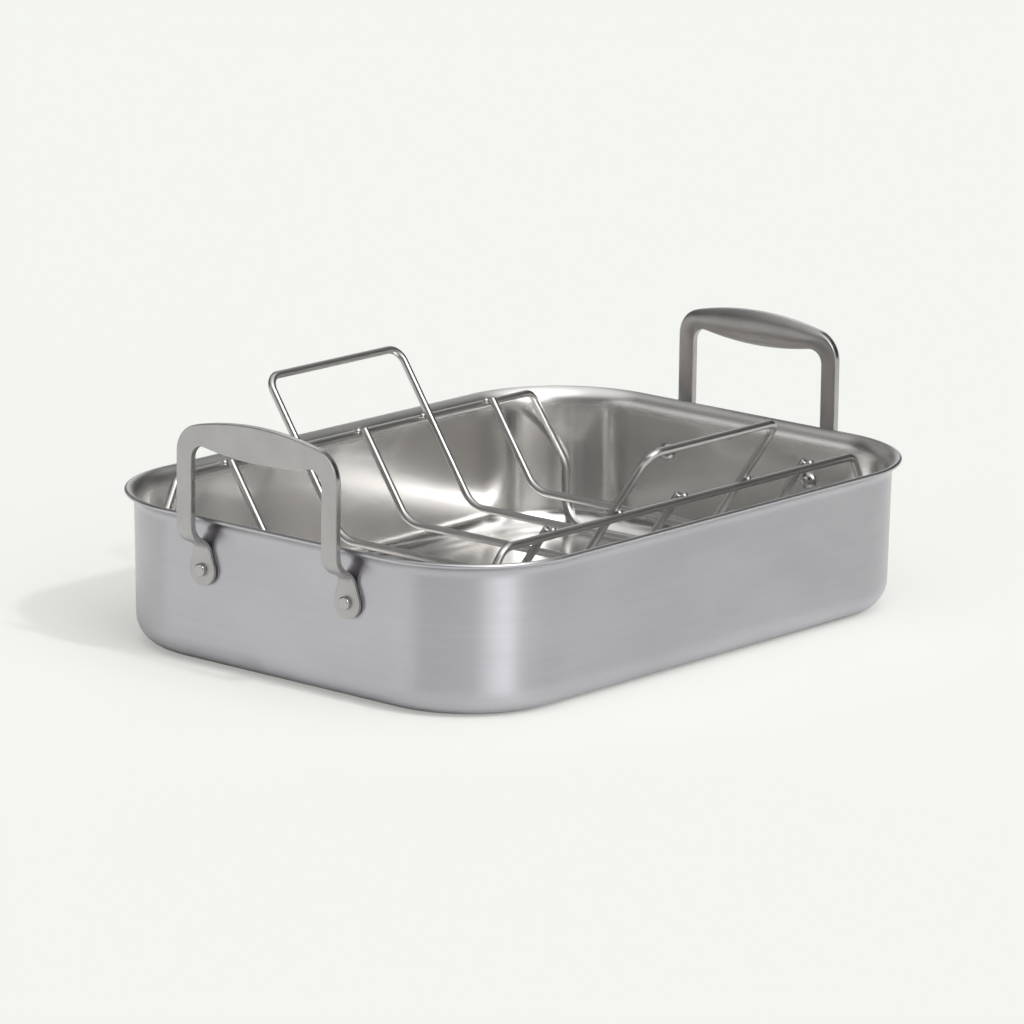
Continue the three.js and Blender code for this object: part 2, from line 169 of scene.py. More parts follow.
# Camera, floor and light
CAMERA_PLACE = Vector((-2.7295, -2.3408, 0.9235))
CAMERA_TARGET = Vector((-0.044382, -0.03393, 0.076057))
CAMERA_ROLL = math.radians(0.749)
CAMERA_LENS = 231.16
SENSOR_WIDTH = 36
FLOOR_SIZE = 16
FLOOR_DROP = 0.2 * MM
FLOOR_COLOUR = (0.925, 0.934, 0.892, 1)
PLAIN_SHARE = 0.36
SUN_BEARING = math.radians(-95.4)
SUN_HEIGHT = math.radians(42.8)
SUN_STRENGTH = 0.85
SUN_SPREAD = math.radians(4)
ROOM_LIGHT = 0.03

# Soft lights of the room: bearing, height, outer edge and core in degrees, strength
SOFT_LIGHTS = (
    (-140, 80, 52, 34, 0.88),
    (-120, 58, 27, 13, 1.25),
    (-100, 32, 23, 11, 1.8),
    (-72, 32, 23, 11, 0.6),
    (-108, 9, 22, 9, 1.3),
    (152, 4, 23, 20, 0.95),
    (150, 32, 23, 11, 0.1),
    (80, 25, 24, 11, 0.3),
    (41, 14, 15, 7, 0.7),
    (34, 28, 11, 5, 1),
    (0, 58, 27, 13, 0.2),
)

# Places on the pan
PAN_HEIGHT = pan_high.z
flare_tangent = Vector((
    FLARE_RUN * math.sin(FLARE_TURN) / (1 - math.cos(FLARE_TURN)),
    FLARE_HEIGHT * math.cos(FLARE_TURN) / math.sin(FLARE_TURN),
)).normalized()
lip_reach = PAN_WALL / 2 * (1 - flare_tangent.y)
flare_top = PAN_HEIGHT - PAN_WALL * flare_tangent.x
flare_start = flare_top - FLARE_HEIGHT


def wall_inset(z):
    return FLARE_RUN + lip_reach + WALL_TAPER * (flare_start - z)


def end_wall_x(z):
    return pan_high.x - wall_inset(z)


# Places on the handle and rivets
handle_front_x = handle_high.x
leg_centre_y = (rivet_low.y + rivet_high.y) / 2
rivet_z = (rivet_low.z + rivet_high.z) / 2
ear_front_x = end_wall_x(rivet_z) + EAR_GAP + EAR_THICKNESS
leg_depth = LEG_SIDE + LEG_CROWN
leg_back_x = handle_front_x - leg_depth

# Places on the rack, in the middle of its wires
leg_x = frame_wire_high.x - WIRE_RADIUS
rail_y = frame_wire_high.y - WIRE_RADIUS
rail_z = frame_wire_high.z - WIRE_RADIUS
foot_z = frame_wire_low.z + WIRE_RADIUS
loop_x = loop_high.x - WIRE_RADIUS
loop_y = loop_high.y - WIRE_RADIUS
loop_z = loop_high.z - WIRE_RADIUS
flat_z = loop_low.z + WIRE_RADIUS
cross_x = (cross_low.x + cross_high.x) / 2
tip_z = cross_high.z - WIRE_RADIUS * math.cos(V_SLOPE)


def slope_y(z):
    return loop_y + (z - loop_z) / math.tan(V_SLOPE)


# Modelling helpers
def select_only(piece):
    bpy.ops.object.select_all(action="DESELECT")
    piece.select_set(True)
    bpy.context.view_layer.objects.active = piece


def begin(piece):
    """Opens one piece for editing, with nothing else selected."""
    select_only(piece)
    bpy.ops.object.mode_set(mode="EDIT")


def end():
    bpy.ops.object.mode_set(mode="OBJECT")


def pick_all():
    bpy.ops.mesh.select_all(action="SELECT")


def pick(piece, mode, wanted):
    """Selects the vertices, edges or faces of the piece in edit mode for which wanted is true."""
    bpy.ops.mesh.select_mode(type=mode)
    bpy.ops.mesh.select_all(action="DESELECT")
    mesh = bmesh.from_edit_mesh(piece.data)
    for part in {"VERT": mesh.verts, "EDGE": mesh.edges, "FACE": mesh.faces}[mode]:
        if wanted(part):
            part.select_set(True)
    mesh.select_flush_mode()
    bmesh.update_edit_mesh(piece.data)


def pick_border(piece, finish):
    """Selects the edges where the faces of one finish end."""
    def on_border(edge):
        return sorted(face.material_index == finish for face in edge.link_faces) == [False, True]

    pick(piece, "EDGE", on_border)


def modify(piece, kind, **settings):
    """Adds a modifier, sets it and applies it."""
    bpy.context.view_layer.objects.active = piece
    modifier = piece.modifiers.new(kind.lower(), kind)
    for name, value in settings.items():
        setattr(modifier, name, value)
    bpy.ops.object.modifier_apply(modifier=modifier.name)


def smooth(piece, degrees):
    select_only(piece)
    bpy.ops.object.shade_smooth_by_angle(angle=math.radians(degrees))


def turn_selected(angle, axis, centre):
    """Turns what is selected by the right-hand rule."""
    bpy.ops.transform.rotate(value=-angle, orient_axis=axis, center_override=centre)


def placed_copy(piece, shift, turn):
    """A copy with its own mesh, moved and then turned round the pan's upright axis."""
    twin = piece.copy()
    twin.data = piece.data.copy()
    bpy.context.scene.collection.objects.link(twin)
    begin(twin)
    pick_all()
    bpy.ops.transform.translate(value=shift)
    turn_selected(turn, "Z", ORIGIN)
    end()
    return twin


def finish_piece(piece, name, body, slot, *nodes):
    piece.name = name
    piece.data.name = name
    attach(piece, body)
    if nodes:
        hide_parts(*nodes)


# Pan body
def pan_outside_line():
    """The outside of the pan from lip to base, as inset from the rim's edge and height."""
    half_wall = PAN_WALL / 2
    line = [(lip_reach - flare_tangent.x * half_wall, flare_top + flare_tangent.y * half_wall)]
    for k in range(FLARE_STEPS, -1, -1):
        angle = FLARE_TURN * k / FLARE_STEPS
        share = (math.cos(angle) - math.cos(FLARE_TURN)) / (1 - math.cos(FLARE_TURN))
        rise = FLARE_HEIGHT * math.sin(angle) / math.sin(FLARE_TURN)
        line.append((lip_reach + FLARE_RUN * share, flare_start + rise))
    wall_top = flare_start - WALL_SUPPORT
    wall_foot = BASE_FILLET + WALL_SUPPORT
    for k in range(WALL_STEPS + 1):
        z = wall_top + (wall_foot - wall_top) * k / WALL_STEPS
        line.append((wall_inset(z), z))
    for k in range(FILLET_STEPS + 1):
        angle = math.pi / 2 * k / FILLET_STEPS
        inset = wall_inset(BASE_FILLET) + BASE_FILLET * (1 - math.cos(angle))
        line.append((inset, BASE_FILLET * (1 - math.sin(angle))))
    return line


def make_pan():
    """A rounded plate inset step by step down to the base, then thickened inwards."""
    line = pan_outside_line()
    first_inset, first_height = line[0]
    bpy.ops.mesh.primitive_plane_add(size=1, location=(0, 0, first_height))
    pan = bpy.context.object
    bpy.ops.object.transform_apply()
    begin(pan)
    pick_all()
    length = 2 * (pan_high.x - first_inset)
    width = 2 * (pan_high.y - first_inset)
    bpy.ops.transform.resize(value=(length, width, 1), center_override=(0, 0, first_height))
    bpy.ops.mesh.bevel(
        offset=PAN_CORNER_RADIUS - first_inset, segments=CORNER_SEGMENTS, affect="VERTICES")
    pick(pan, "EDGE", lambda edge: edge.calc_length() > PAN_CORNER_RADIUS)
    bpy.ops.mesh.subdivide(number_cuts=SIDE_CUTS)
    pick(pan, "FACE", lambda face: True)
    for (inset, height), (next_inset, next_height) in zip(line, line[1:]):
        bpy.ops.mesh.inset(
            thickness=next_inset - inset, depth=next_height - height, use_even_offset=True)
    pick_all()
    bpy.ops.mesh.flip_normals()
    end()
    for finish in (brushed_outside, polished_inside, rolled_lip):
        pan.data.materials.append(finish)
    modify(pan, "SOLIDIFY", thickness=PAN_WALL, offset=-1, use_even_offset=True,
           material_offset=PAN_INSIDE, material_offset_rim=PAN_LIP)
    begin(pan)
    pick_border(pan, PAN_LIP)
    bpy.ops.mesh.bevel(offset=LIP_ROUND, segments=LIP_SEGMENTS, affect="EDGES", material=PAN_LIP)
    end()
    smooth(pan, PAN_SMOOTH)
    finish_piece(pan, "pan_shell", "pan", "pan_steel", "pan_body")


# Handles
HandleRow = namedtuple("HandleRow", "middle width turn side crown")


def arc(centre, radius, start, stop, steps):
    """Points on an arc in the handle's front view."""
    angles = [start + (stop - start) * k / steps for k in range(steps + 1)]
    return [
        Vector((centre.x + radius * math.cos(angle), centre.y + radius * math.sin(angle)))
        for angle in angles
    ]


def quad_curve(start, control, stop, steps):
    """Points on a curve after its start, drawn towards one control point."""
    points = []
    for k in range(1, steps + 1):
        t = k / steps
        points.append(start * (1 - t) ** 2 + control * 2 * t * (1 - t) + stop * t ** 2)
    return points


def ease(t):
    """A share kept from 0 to 1, with a soft start and end."""
    t = min(1, max(0, t))
    return t * t * (3 - 2 * t)


def foot_rows():
    """Rows of the handle's front face from the ear's tip to the leg."""
    neck = EAR_NECK_WIDTH / 2
    neck_z = PAN_HEIGHT - EAR_NECK_DROP
    narrows_z = PAN_HEIGHT - LEG_NARROWS_DROP
    reach = math.hypot(neck, neck_z - rivet_z)
    above = math.atan2(neck_z - rivet_z, neck) - math.acos(EAR_RADIUS / reach)
    last = math.pi / 2 + above
    ear_top = rivet_z - EAR_RADIUS * math.cos(last)
    ear_width = 2 * EAR_RADIUS * math.sin(last)

    def width_at(z):
        if z < neck_z:
            return ear_width + (EAR_NECK_WIDTH - ear_width) * (z - ear_top) / (neck_z - ear_top)
        share = min(1, (z - neck_z) / (narrows_z - neck_z))
        return EAR_NECK_WIDTH + (LEG_WIDTH - EAR_NECK_WIDTH) * share

    places = []
    for k in range(EAR_STEPS + 1):
        angle = last * (k + EAR_TIP_STEP) / (EAR_STEPS + EAR_TIP_STEP)
        z = rivet_z - EAR_RADIUS * math.cos(angle)
        places.append((ear_front_x, z, 2 * EAR_RADIUS * math.sin(angle)))
    ear_end = Vector((ear_front_x, PAN_HEIGHT - EAR_FRONT_DROP))
    neck_corner = Vector((ear_front_x, neck_z))
    under = Vector(((leg_back_x + ear_front_x) / 2, PAN_HEIGHT - BEND_UNDER_DROP))
    heel = Vector((handle_front_x, PAN_HEIGHT - BEND_HEEL_DROP))
    leg_end = Vector((handle_front_x, PAN_HEIGHT - BEND_START_DROP))
    bend = [ear_end]
    bend += quad_curve(ear_end, neck_corner, under, FOOT_STEPS)
    bend += quad_curve(under, heel, leg_end, FOOT_STEPS)
    places += [(point.x, point.y, width_at(point.y)) for point in bend]
    rows = []
    for x, z, width in places:
        share = ease((x - ear_front_x) / (handle_front_x - ear_front_x))
        depth = EAR_THICKNESS + (leg_depth - EAR_THICKNESS) * share
        crown = LEG_CROWN * share
        rows.append(HandleRow(Vector((x, leg_centre_y, z)), width, 0, depth - crown, crown))
    return rows


def loop_rows():
    """Rows of the handle's front face from the leg to mid grip."""
    top_z = handle_high.z
    under_z = top_z - GRIP_HEIGHT
    outer_y = leg_centre_y + LEG_WIDTH / 2
    inner_y = outer_y - LEG_WIDTH
    crown = Vector((0, top_z - GRIP_TOP_RADIUS))
    outer_y0 = outer_y - OUTER_CORNER_RADIUS
    outer_reach = math.sqrt((GRIP_TOP_RADIUS - OUTER_CORNER_RADIUS) ** 2 - outer_y0 ** 2)
    outer_turn = math.atan2(outer_reach, outer_y0)
    outer_centre = Vector((outer_y0, crown.y + outer_reach))
    outer_bend = arc(outer_centre, OUTER_CORNER_RADIUS, 0, outer_turn, BEND_STEPS)
    outer_grip = arc(crown, GRIP_TOP_RADIUS, outer_turn, math.pi / 2, GRIP_STEPS)
    belly = Vector((0, under_z + GRIP_UNDER_RADIUS))
    inner_y0 = inner_y - INNER_CORNER_RADIUS
    inner_reach = math.sqrt((GRIP_UNDER_RADIUS + INNER_CORNER_RADIUS) ** 2 - inner_y0 ** 2)
    inner_turn = math.atan2(inner_reach, -inner_y0)
    inner_centre = Vector((inner_y0, belly.y - inner_reach))
    inner_bend = arc(inner_centre, INNER_CORNER_RADIUS, 0, inner_turn, BEND_STEPS)
    inner_grip = arc(belly, GRIP_UNDER_RADIUS, inner_turn - math.pi, -math.pi / 2, GRIP_STEPS)
    leg_start = PAN_HEIGHT - BEND_START_DROP
    outer, inner = [], []
    for k in range(1, LEG_STEPS):
        t = k / LEG_STEPS
        outer.append(Vector((outer_y, leg_start + (outer_bend[0].y - leg_start) * t)))
        inner.append(Vector((inner_y, leg_start + (inner_bend[0].y - leg_start) * t)))
    outer += outer_bend + outer_grip[1:]
    inner += inner_bend + inner_grip[1:]
    rows = []
    for k, (far, near) in enumerate(zip(outer, inner)):
        middle = (far + near) / 2
        across = far - near
        grip = ease((k - LEG_STEPS + 1) / (BEND_STEPS + GRIP_STEPS))
        rows.append(HandleRow(
            Vector((handle_front_x, middle.x, middle.y)),
            across.length,
            math.atan2(across.y, across.x),
            LEG_SIDE + (GRIP_SIDE - LEG_SIDE) * grip,
            LEG_CROWN + (GRIP_CROWN - LEG_CROWN) * grip,
        ))
    return rows


def make_handle():
    """Half of the front face as a strip of rows, mirrored, then thickened towards the pan."""
    rows = foot_rows() + loop_rows()
    steps = len(rows) - 1
    bpy.ops.mesh.primitive_grid_add(
        x_subdivisions=HANDLE_COLUMNS, y_subdivisions=steps, size=1,
        rotation=(math.pi / 2, 0, math.pi / 2))
    handle = bpy.context.object
    bpy.ops.object.transform_apply()
    depth_group = handle.vertex_groups.new(name="depth")
    deepest = GRIP_SIDE + GRIP_CROWN
    by_row = [set() for _ in rows]
    for vertex in handle.data.vertices:
        number = round((vertex.co.z + 0.5) * steps)
        row = rows[number]
        across = 2 * vertex.co.y
        depth = row.side + row.crown * max(0, 1 - across ** 2) ** CROWN_POWER
        depth_group.add([vertex.index], depth / deepest, "REPLACE")
        by_row[number].add(vertex.index)
    begin(handle)
    for number, row in enumerate(rows):
        pick(handle, "VERT", lambda vertex: vertex.index in by_row[number])
        start = Vector((0, 0, number / steps - 0.5))
        bpy.ops.transform.resize(value=(1, row.width, 1), center_override=start)
        turn_selected(row.turn, "X", start)
        bpy.ops.transform.translate(value=row.middle - start)
    end()
    modify(handle, "MIRROR", use_axis=(False, True, False), use_clip=True,
           merge_threshold=HANDLE_MERGE)
    begin(handle)
    pick_all()
    bpy.ops.mesh.normals_make_consistent(inside=False)
    end()
    if sum(face.normal.x for face in handle.data.polygons) < 0:
        begin(handle)
        pick_all()
        bpy.ops.mesh.flip_normals()
        end()
    # The side and inner finishes are the same cast steel, and their darker colours are painted shade.
    for finish in (cast_front, cast_side_smooth_painted_shade, cast_back_painted_shade):
        handle.data.materials.append(finish)
    modify(handle, "SOLIDIFY", thickness=deepest, offset=-1, use_even_offset=True,
           vertex_group="depth", material_offset=HANDLE_BACK, material_offset_rim=HANDLE_SIDE)
    begin(handle)
    pick_border(handle, HANDLE_SIDE)
    bpy.ops.mesh.bevel(
        offset=HANDLE_EDGE, segments=HANDLE_EDGE_SEGMENTS, affect="EDGES", material=HANDLE_FRONT)
    end()
    modify(handle, "SUBSURF", levels=1, render_levels=1)
    smooth(handle, HANDLE_SMOOTH)
    return handle


def make_handles():
    right = make_handle()
    left = placed_copy(right, ORIGIN, math.pi)
    finish_piece(right, "cast_handle_right", "pan", "handle_steel", "handle_right")
    finish_piece(left, "cast_handle_left", "pan", "handle_steel", "handle_left")


# Rivets
def rivet_profile():
    """Radius and X of the rivet's rings, from the dome inside the pan to the flat head on the ear."""
    dome_x = end_wall_x(rivet_z) - PAN_WALL
    head_x = ear_front_x
    top_x = head_x + EAR_GAP + RIVET_HEAD_HEIGHT
    rings = []
    for k in range(1, DOME_STEPS + 1):
        angle = math.pi / 2 * k / DOME_STEPS
        rings.append((RIVET_DOME_RADIUS * math.sin(angle),
                      dome_x - EAR_GAP - RIVET_DOME_HEIGHT * math.cos(angle)))
    rings.append((RIVET_DOME_RADIUS, dome_x))
    rings.append((RIVET_SHANK_RADIUS, dome_x))
    rings.append((RIVET_SHANK_RADIUS, head_x))
    rings.append((RIVET_HEAD_RADIUS, head_x))
    for k in range(ROUND_STEPS + 1):
        angle = math.pi / 2 * k / ROUND_STEPS
        rings.append((RIVET_HEAD_RADIUS - RIVET_HEAD_ROUND * (1 - math.cos(angle)),
                      top_x - RIVET_HEAD_ROUND * (1 - math.sin(angle))))
    return rings


def make_rivet():
    rings = rivet_profile()
    radius, x = rings[0]
    bpy.ops.mesh.primitive_circle_add(
        vertices=RIVET_SIDES, radius=radius, fill_type="NGON",
        location=(x, leg_centre_y, rivet_z), rotation=(0, -math.pi / 2, 0))
    rivet = bpy.context.object
    bpy.ops.object.transform_apply()
    begin(rivet)
    pick_all()
    for next_radius, next_x in rings[1:]:
        bpy.ops.mesh.extrude_region_move(TRANSFORM_OT_translate={"value": (next_x - x, 0, 0)})
        share = next_radius / radius
        centre = (next_x, leg_centre_y, rivet_z)
        bpy.ops.transform.resize(value=(1, share, share), center_override=centre)
        radius, x = next_radius, next_x
    pick_all()
    bpy.ops.mesh.normals_make_consistent(inside=False)
    end()
    rivet.data.materials.append(rivet_steel)
    smooth(rivet, RIVET_SMOOTH)
    return rivet


def make_rivets():
    first = make_rivet()
    for end_name, turn in (("right", 0), ("left", math.pi)):
        for place, side in (("front", -1), ("rear", 1)):
            other_leg = side * math.cos(turn) < 0
            shift = Vector((0, -2 * leg_centre_y if other_leg else 0, 0))
            rivet = placed_copy(first, shift, turn)
            finish_piece(rivet, f"rivet_head_{end_name}_{place}", "pan", "rivet_steel",
                         f"rivet_{end_name}_{place}")
    bpy.data.objects.remove(first)


# Rack
def ring_at(point, direction, filled):
    """A wire's starting circle, square to its direction."""
    turn = direction.to_track_quat("Z", "Y").to_euler()
    bpy.ops.mesh.primitive_circle_add(
        vertices=WIRE_SIDES, radius=WIRE_RADIUS, fill_type="NGON" if filled else "NOTHING",
        location=point, rotation=turn)
    wire = bpy.context.object
    bpy.ops.object.transform_apply()
    return wire


def draw_wire(at, point):
    bpy.ops.mesh.extrude_region_move(TRANSFORM_OT_translate={"value": point - at})


def bend_wire(corner, radius, into, out):
    """Bends the wire's end round one corner, from the end of the run before it."""
    turn = into.angle(out)
    side = (out - into * into.dot(out)).normalized()
    start = corner - into * radius * math.tan(turn / 2)
    bpy.ops.mesh.spin(
        steps=max(FEWEST_BEND_STEPS, math.ceil(turn / BEND_STEP)), angle=-turn,
        center=start + side * radius, axis=into.cross(out).normalized())
    return corner + out * radius * math.tan(turn / 2)


def make_wire(corners, closed):
    """A bent wire through its corners, each with its own bend radius."""
    points = [Vector(point) for point, _ in corners]
    count = len(points)
    first = (points[-1] + points[0]) / 2 if closed else points[0]
    ahead = points[0] if closed else points[1]
    wire = ring_at(first, (ahead - first).normalized(), not closed)
    begin(wire)
    pick_all()
    at = first
    bends = range(count) if closed else range(1, count - 1)
    for k in bends:
        before, here, after = points[k - 1], points[k], points[(k + 1) % count]
        into, out = (here - before).normalized(), (after - here).normalized()
        radius = corners[k][1]
        run_end = here - into * radius * math.tan(into.angle(out) / 2)
        draw_wire(at, run_end)
        at = bend_wire(here, radius, into, out)
    draw_wire(at, first if closed else points[-1])
    pick_all()
    bpy.ops.mesh.remove_doubles(threshold=WIRE_MERGE)
    bpy.ops.mesh.normals_make_consistent(inside=False)
    if not closed:
        pick(wire, "EDGE", lambda edge: any(len(face.verts) > 4 for face in edge.link_faces))
        bpy.ops.mesh.bevel(offset=WIRE_TIP_ROUND, segments=WIRE_TIP_SEGMENTS, affect="EDGES")
    end()
    wire.data.materials.append(satin_wire)
    smooth(wire, WIRE_SMOOTH)
    return wire


def make_round_wire(part, name, node):
    """A closed wire, from the corners that part gives for each quarter of the rack."""
    corners = part(1, 1) + part(1, -1)[::-1] + part(-1, -1) + part(-1, 1)[::-1]
    wire = make_wire(corners, True)
    finish_piece(wire, name, "rack", "rack_wire", node)


def frame_corner(x, y):
    """Rail's end, kink and foot of the frame wire in one quarter."""
    leg_y = rail_y - RAIL_OUTSET
    rail_x = leg_x - END_SPREAD
    return [
        ((x * rail_x, y * rail_y, rail_z), RACK_CORNER_BEND),
        ((x * leg_x, y * leg_y, rail_z - KINK_DROP), KINK_BEND),
        ((x * leg_x, y * leg_y, foot_z), FOOT_BEND),
    ]


def loop_corner(x, y):
    """Top and bottom of the carrier loop in one quarter."""
    return [
        ((x * loop_x, y * loop_y, loop_z), LOOP_BEND),
        ((x * loop_x, y * slope_y(flat_z), flat_z), V_BEND),
    ]


def make_cross_wires():
    corners = [
        ((0, slope_y(tip_z), tip_z), 0),
        ((0, slope_y(flat_z), flat_z), V_BEND),
        ((0, -slope_y(flat_z), flat_z), V_BEND),
        ((0, -slope_y(tip_z), tip_z), 0),
    ]
    middle = make_wire(corners, False)
    for place, x in (("left", -cross_x), ("right", cross_x)):
        wire = placed_copy(middle, Vector((x, 0, 0)), 0)
        finish_piece(wire, f"cross_wire_{place}", "rack", "rack_wire", f"rack_cross_wire_{place}")
    finish_piece(middle, "cross_wire_middle", "rack", "rack_wire", "rack_cross_wire_middle")


def make_weld_beads():
    """Small welds in the corners between the rails and the wires that cross them."""
    inward = Vector((0, -math.sin(V_SLOPE), math.cos(V_SLOPE)))
    along = Vector((0, math.cos(V_SLOPE), math.sin(V_SLOPE)))
    rail = Vector((0, rail_y, rail_z))
    joint = rail + inward * (WIRE_RADIUS + WIRE_GAP / 2) + along * BEAD_RISE
    bpy.ops.mesh.primitive_uv_sphere_add(
        segments=BEAD_SEGMENTS, ring_count=BEAD_RINGS, radius=BEAD_RADIUS, location=joint)
    first = bpy.context.object
    bpy.ops.object.transform_apply()
    begin(first)
    pick_all()
    bpy.ops.transform.resize(value=(BEAD_LENGTH, 1, 1), center_override=joint)
    end()
    first.data.materials.append(satin_wire)
    smooth(first, BEAD_SMOOTH)
    for rail_name, turn in (("rear", 0), ("front", math.pi)):
        for number, x in enumerate((-cross_x, -loop_x, 0, loop_x, cross_x), 1):
            bead = placed_copy(first, Vector((x - BEAD_OFFSET, 0, 0)), turn)
            finish_piece(bead, f"weld_bead_{rail_name}_{number}", "rack", "rack_wire")
    bpy.data.objects.remove(first)


# Shader helpers
class Value:
    """A shader socket that Python arithmetic can use."""

    def __init__(self, shade, socket):
        self.shade = shade
        self.socket = socket

    def math(self, operation, first, second):
        return self.shade.node("Math", {"operation": operation}, {0: first, 1: second}).value()

    def __add__(self, other):
        return self.math("ADD", self, other)

    def __radd__(self, other):
        return self.math("ADD", other, self)

    def __sub__(self, other):
        return self.math("SUBTRACT", self, other)

    def __rsub__(self, other):
        return self.math("SUBTRACT", other, self)

    def __mul__(self, other):
        return self.math("MULTIPLY", self, other)

    def __rmul__(self, other):
        return self.math("MULTIPLY", other, self)


class Node:
    """A node just added, whose outputs are taken by name or place."""

    def __init__(self, shade, made):
        self.shade = shade
        self.made = made

    def value(self, output=0):
        return Value(self.shade, self.made.outputs[output])


class Shade:
    """The node tree of one material or world."""

    def __init__(self, owner):
        owner.use_nodes = True
        self.tree = owner.node_tree
        self.tree.nodes.clear()

    def node(self, kind, settings, sockets):
        """Adds a node, sets it, then gives its sockets their values or links."""
        made = self.tree.nodes.new("ShaderNode" + kind)
        for name, setting in settings.items():
            setattr(made, name, setting)
        for name, given in sockets.items():
            socket = made.inputs[name]
            if isinstance(given, Value):
                self.tree.links.new(given.socket, socket)
            else:
                socket.default_value = given
        return Node(self, made)

    def place(self):
        """Position on the piece, in metres."""
        return self.node("TexCoord", {}, {}).value("Object")

    def stretched(self, scale):
        return self.node("Mapping", {}, {"Vector": self.place(), "Scale": scale}).value()

    def noise(self, scale, detail):
        """Noise between about 0 and 1, with its own scale along X, Y and Z."""
        return self.node("TexNoise", {}, {
            "Vector": self.stretched(scale), "Scale": 1.0, "Detail": detail}).value("Fac")

    def between(self, value, low, high):
        """0 below low, 1 above high, and smooth between them."""
        return self.node("MapRange", {"interpolation_type": "SMOOTHSTEP"}, {
            "Value": value, "From Min": low, "From Max": high}).value()

    def patches(self, noise):
        """Noise drawn out to patches from 0 to 1."""
        return self.between(noise, PATCH_LOW, PATCH_HIGH)

    def blend(self, share, one, other):
        """From one colour to the other."""
        return self.node("Mix", {"data_type": "RGBA"}, {
            0: share, 6: (*one, 1), 7: (*other, 1)}).value(2)

    def bump(self, height, strength, distance):
        return self.node("Bump", {}, {
            "Strength": strength, "Distance": distance, "Height": height}).value()

    def metal(self, colour, roughness, normal, anisotropy=0.0):
        """A metal surface with its constants on the shader's own sockets."""
        shader = self.node("BsdfPrincipled", {}, {
            "Base Color": colour, "Metallic": 1.0, "Roughness": roughness, "Normal": normal,
            "Anisotropic": anisotropy, "Anisotropic Rotation": BRUSH_TURN})
        self.node("OutputMaterial", {}, {"Surface": shader.value()})


def material(name):
    made = bpy.data.materials.new(name)
    return made, Shade(made)


# Finishes
def make_brushed_outside():
    made, shade = material("brushed_outside")
    lines = shade.noise((7, 7, 2400), 3.0)
    streaks = shade.noise((9, 9, 420), 2.0)
    clouds = shade.noise((14, 14, 30), 3.0)
    tone = shade.patches(0.75 * clouds + 0.25 * streaks)
    colour = shade.blend(tone, (0.515, 0.506, 0.546), (0.565, 0.556, 0.594))
    roughness = 0.29 + 0.06 * lines + 0.03 * streaks
    shade.metal(colour, roughness, shade.bump(lines, 0.12, 0.06 * MM), 0.85)
    return made


def make_polished_inside():
    """Bright walls, a softer floor and a satin flare."""
    made, shade = material("polished_inside")
    lines = shade.noise((9, 9, 900), 3.0)
    clouds = shade.noise((11, 11, 16), 2.0)
    waves = shade.noise((16, 16, 12), 1.0)
    colour = shade.blend(shade.patches(clouds), (0.81, 0.797, 0.778), (0.85, 0.84, 0.825))
    height = shade.node("SeparateXYZ", {}, {"Vector": shade.place()}).value("Z")
    on_wall = shade.between(height, POLISH_START, BASE_FILLET)
    on_flare = shade.between(
        height, flare_start - SATIN_BELOW_FLARE, flare_start + SATIN_ABOVE_START)
    roughness = 0.2 + 0.03 * lines + 0.03 * clouds - 0.07 * on_wall + 0.18 * on_flare
    shade.metal(colour, roughness, shade.bump(waves, 0.2, 1.2 * MM), 0.6)
    return made


def make_rolled_lip():
    made, shade = material("rolled_lip")
    fine = shade.noise((1500, 1500, 1500), 2.0)
    clouds = shade.noise((20, 20, 20), 2.0)
    colour = shade.blend(clouds, (0.50, 0.495, 0.515), (0.56, 0.555, 0.57))
    shade.metal(colour, 0.30 + 0.06 * fine, shade.bump(fine, 0.03, 0.02 * MM))
    return made


def make_cast_steel(name, darker, lighter, smoothest, grain_strength):
    made, shade = material(name)
    grain = shade.noise((2600, 2600, 2600), 2.0)
    clouds = shade.noise((60, 60, 60), 2.0)
    colour = shade.blend(shade.patches(clouds), darker, lighter)
    roughness = smoothest + 0.08 * grain + 0.05 * clouds
    shade.metal(colour, roughness, shade.bump(grain, grain_strength, 0.05 * MM))
    return made


def make_rivet_steel():
    made, shade = material("rivet_steel")
    grain = shade.noise((1800, 1800, 1800), 2.0)
    colour = shade.blend(grain, (0.43, 0.42, 0.425), (0.50, 0.49, 0.49))
    shade.metal(colour, 0.16 + 0.1 * grain, shade.bump(grain, 0.05, 0.05 * MM))
    return made


def make_satin_wire():
    made, shade = material("satin_wire")
    scuffs = shade.noise((240, 240, 240), 3.0)
    clouds = shade.noise((40, 40, 40), 2.0)
    colour = shade.blend(clouds, (0.46, 0.45, 0.44), (0.54, 0.53, 0.52))
    shade.metal(colour, 0.29 + 0.06 * scuffs, shade.bump(scuffs, 0.015, 0.1 * MM))
    return made


brushed_outside = make_brushed_outside()
polished_inside = make_polished_inside()
rolled_lip = make_rolled_lip()
cast_front = make_cast_steel("cast_front", (0.46, 0.45, 0.452), (0.505, 0.495, 0.497), 0.36, 0.18)
# The handles' side faces: a smoother finish, which is real, and a darker colour, which is painted
# shade.
cast_side_smooth_painted_shade = make_cast_steel("cast_side_smooth_painted_shade", (0.44, 0.425, 0.42), (0.50, 0.485, 0.48), 0.2, 0.08)
# The handles' inner faces, towards the pan: a darker copy of the cast steel, which is painted shade.
cast_back_painted_shade = make_cast_steel("cast_back_painted_shade", (0.375, 0.358, 0.352), (0.415, 0.398, 0.39), 0.36, 0.18)
rivet_steel = make_rivet_steel()
satin_wire = make_satin_wire()

make_pan()
make_handles()
make_rivets()
make_round_wire(frame_corner, "frame_wire", "rack_frame_wire")
make_round_wire(loop_corner, "carrier_loop", "rack_carrier_loop")
make_cross_wires()
make_weld_beads()


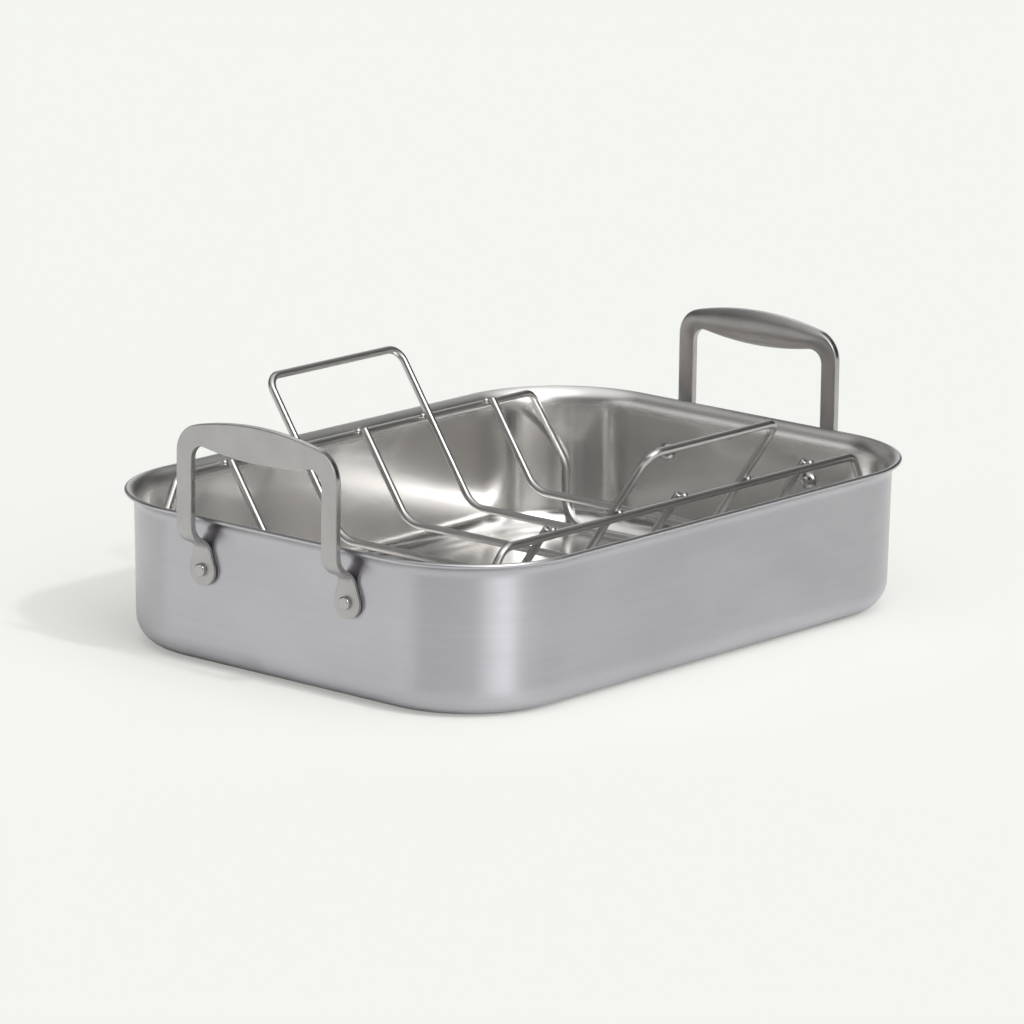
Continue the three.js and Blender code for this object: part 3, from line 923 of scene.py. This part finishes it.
# Studio
def make_floor():
    """A pale floor, which the camera sees with a part of its plain colour."""
    bpy.ops.mesh.primitive_plane_add(size=FLOOR_SIZE, location=(0, 0, -FLOOR_DROP))
    floor = bpy.context.object
    floor.name = "studio_floor"
    made, shade = material("pale_floor")
    matt = shade.node("BsdfDiffuse", {}, {"Color": FLOOR_COLOUR})
    plain = shade.node("Emission", {}, {"Color": FLOOR_COLOUR, "Strength": 1.0})
    seen = shade.node("LightPath", {}, {}).value("Is Camera Ray")
    surface = shade.node("MixShader", {}, {
        0: PLAIN_SHARE * seen, 1: matt.value(), 2: plain.value()})
    shade.node("OutputMaterial", {}, {"Surface": surface.value()})
    floor.data.materials.append(made)


def towards(bearing, height):
    """The direction at a bearing from +X and a height above the horizon."""
    level = math.cos(height)
    return Vector((level * math.cos(bearing), level * math.sin(bearing), math.sin(height)))


def make_world():
    """A dim room with soft round lights, each fading from its core to its edge."""
    world = bpy.data.worlds.new("studio")
    bpy.context.scene.world = world
    shade = Shade(world)
    direction = shade.node("TexCoord", {}, {}).value("Generated")
    light = ROOM_LIGHT
    for bearing, height, edge, core, strength in SOFT_LIGHTS:
        facing = shade.node("VectorMath", {"operation": "DOT_PRODUCT"}, {
            0: direction, 1: towards(math.radians(bearing), math.radians(height))}).value("Value")
        reach = shade.between(facing, math.cos(math.radians(edge)), math.cos(math.radians(core)))
        light = light + strength * reach
    background = shade.node("Background", {}, {"Color": (1, 1, 1, 1), "Strength": light})
    shade.node("OutputWorld", {}, {"Surface": background.value()})


def make_sun():
    data = bpy.data.lights.new("key_light", "SUN")
    data.energy = SUN_STRENGTH
    data.angle = SUN_SPREAD
    sun = bpy.data.objects.new("key_light", data)
    bpy.context.scene.collection.objects.link(sun)
    sun.rotation_euler = towards(SUN_BEARING, SUN_HEIGHT).to_track_quat("Z", "Y").to_euler()


def make_camera():
    data = bpy.data.cameras.new("camera")
    data.lens = CAMERA_LENS
    data.sensor_width = SENSOR_WIDTH
    camera = bpy.data.objects.new("camera", data)
    bpy.context.scene.collection.objects.link(camera)
    back = (CAMERA_PLACE - CAMERA_TARGET).normalized()
    level = Vector((0, 0, 1)).cross(back).normalized()
    upright = back.cross(level)
    right = level * math.cos(CAMERA_ROLL) + upright * math.sin(CAMERA_ROLL)
    up = back.cross(right)
    turn = Matrix((right, up, back)).transposed()
    camera.matrix_world = Matrix.Translation(CAMERA_PLACE) @ turn.to_4x4()
    bpy.context.scene.camera = camera


make_floor()
make_world()
make_sun()
make_camera()
bpy.context.scene.view_settings.view_transform = "Standard"
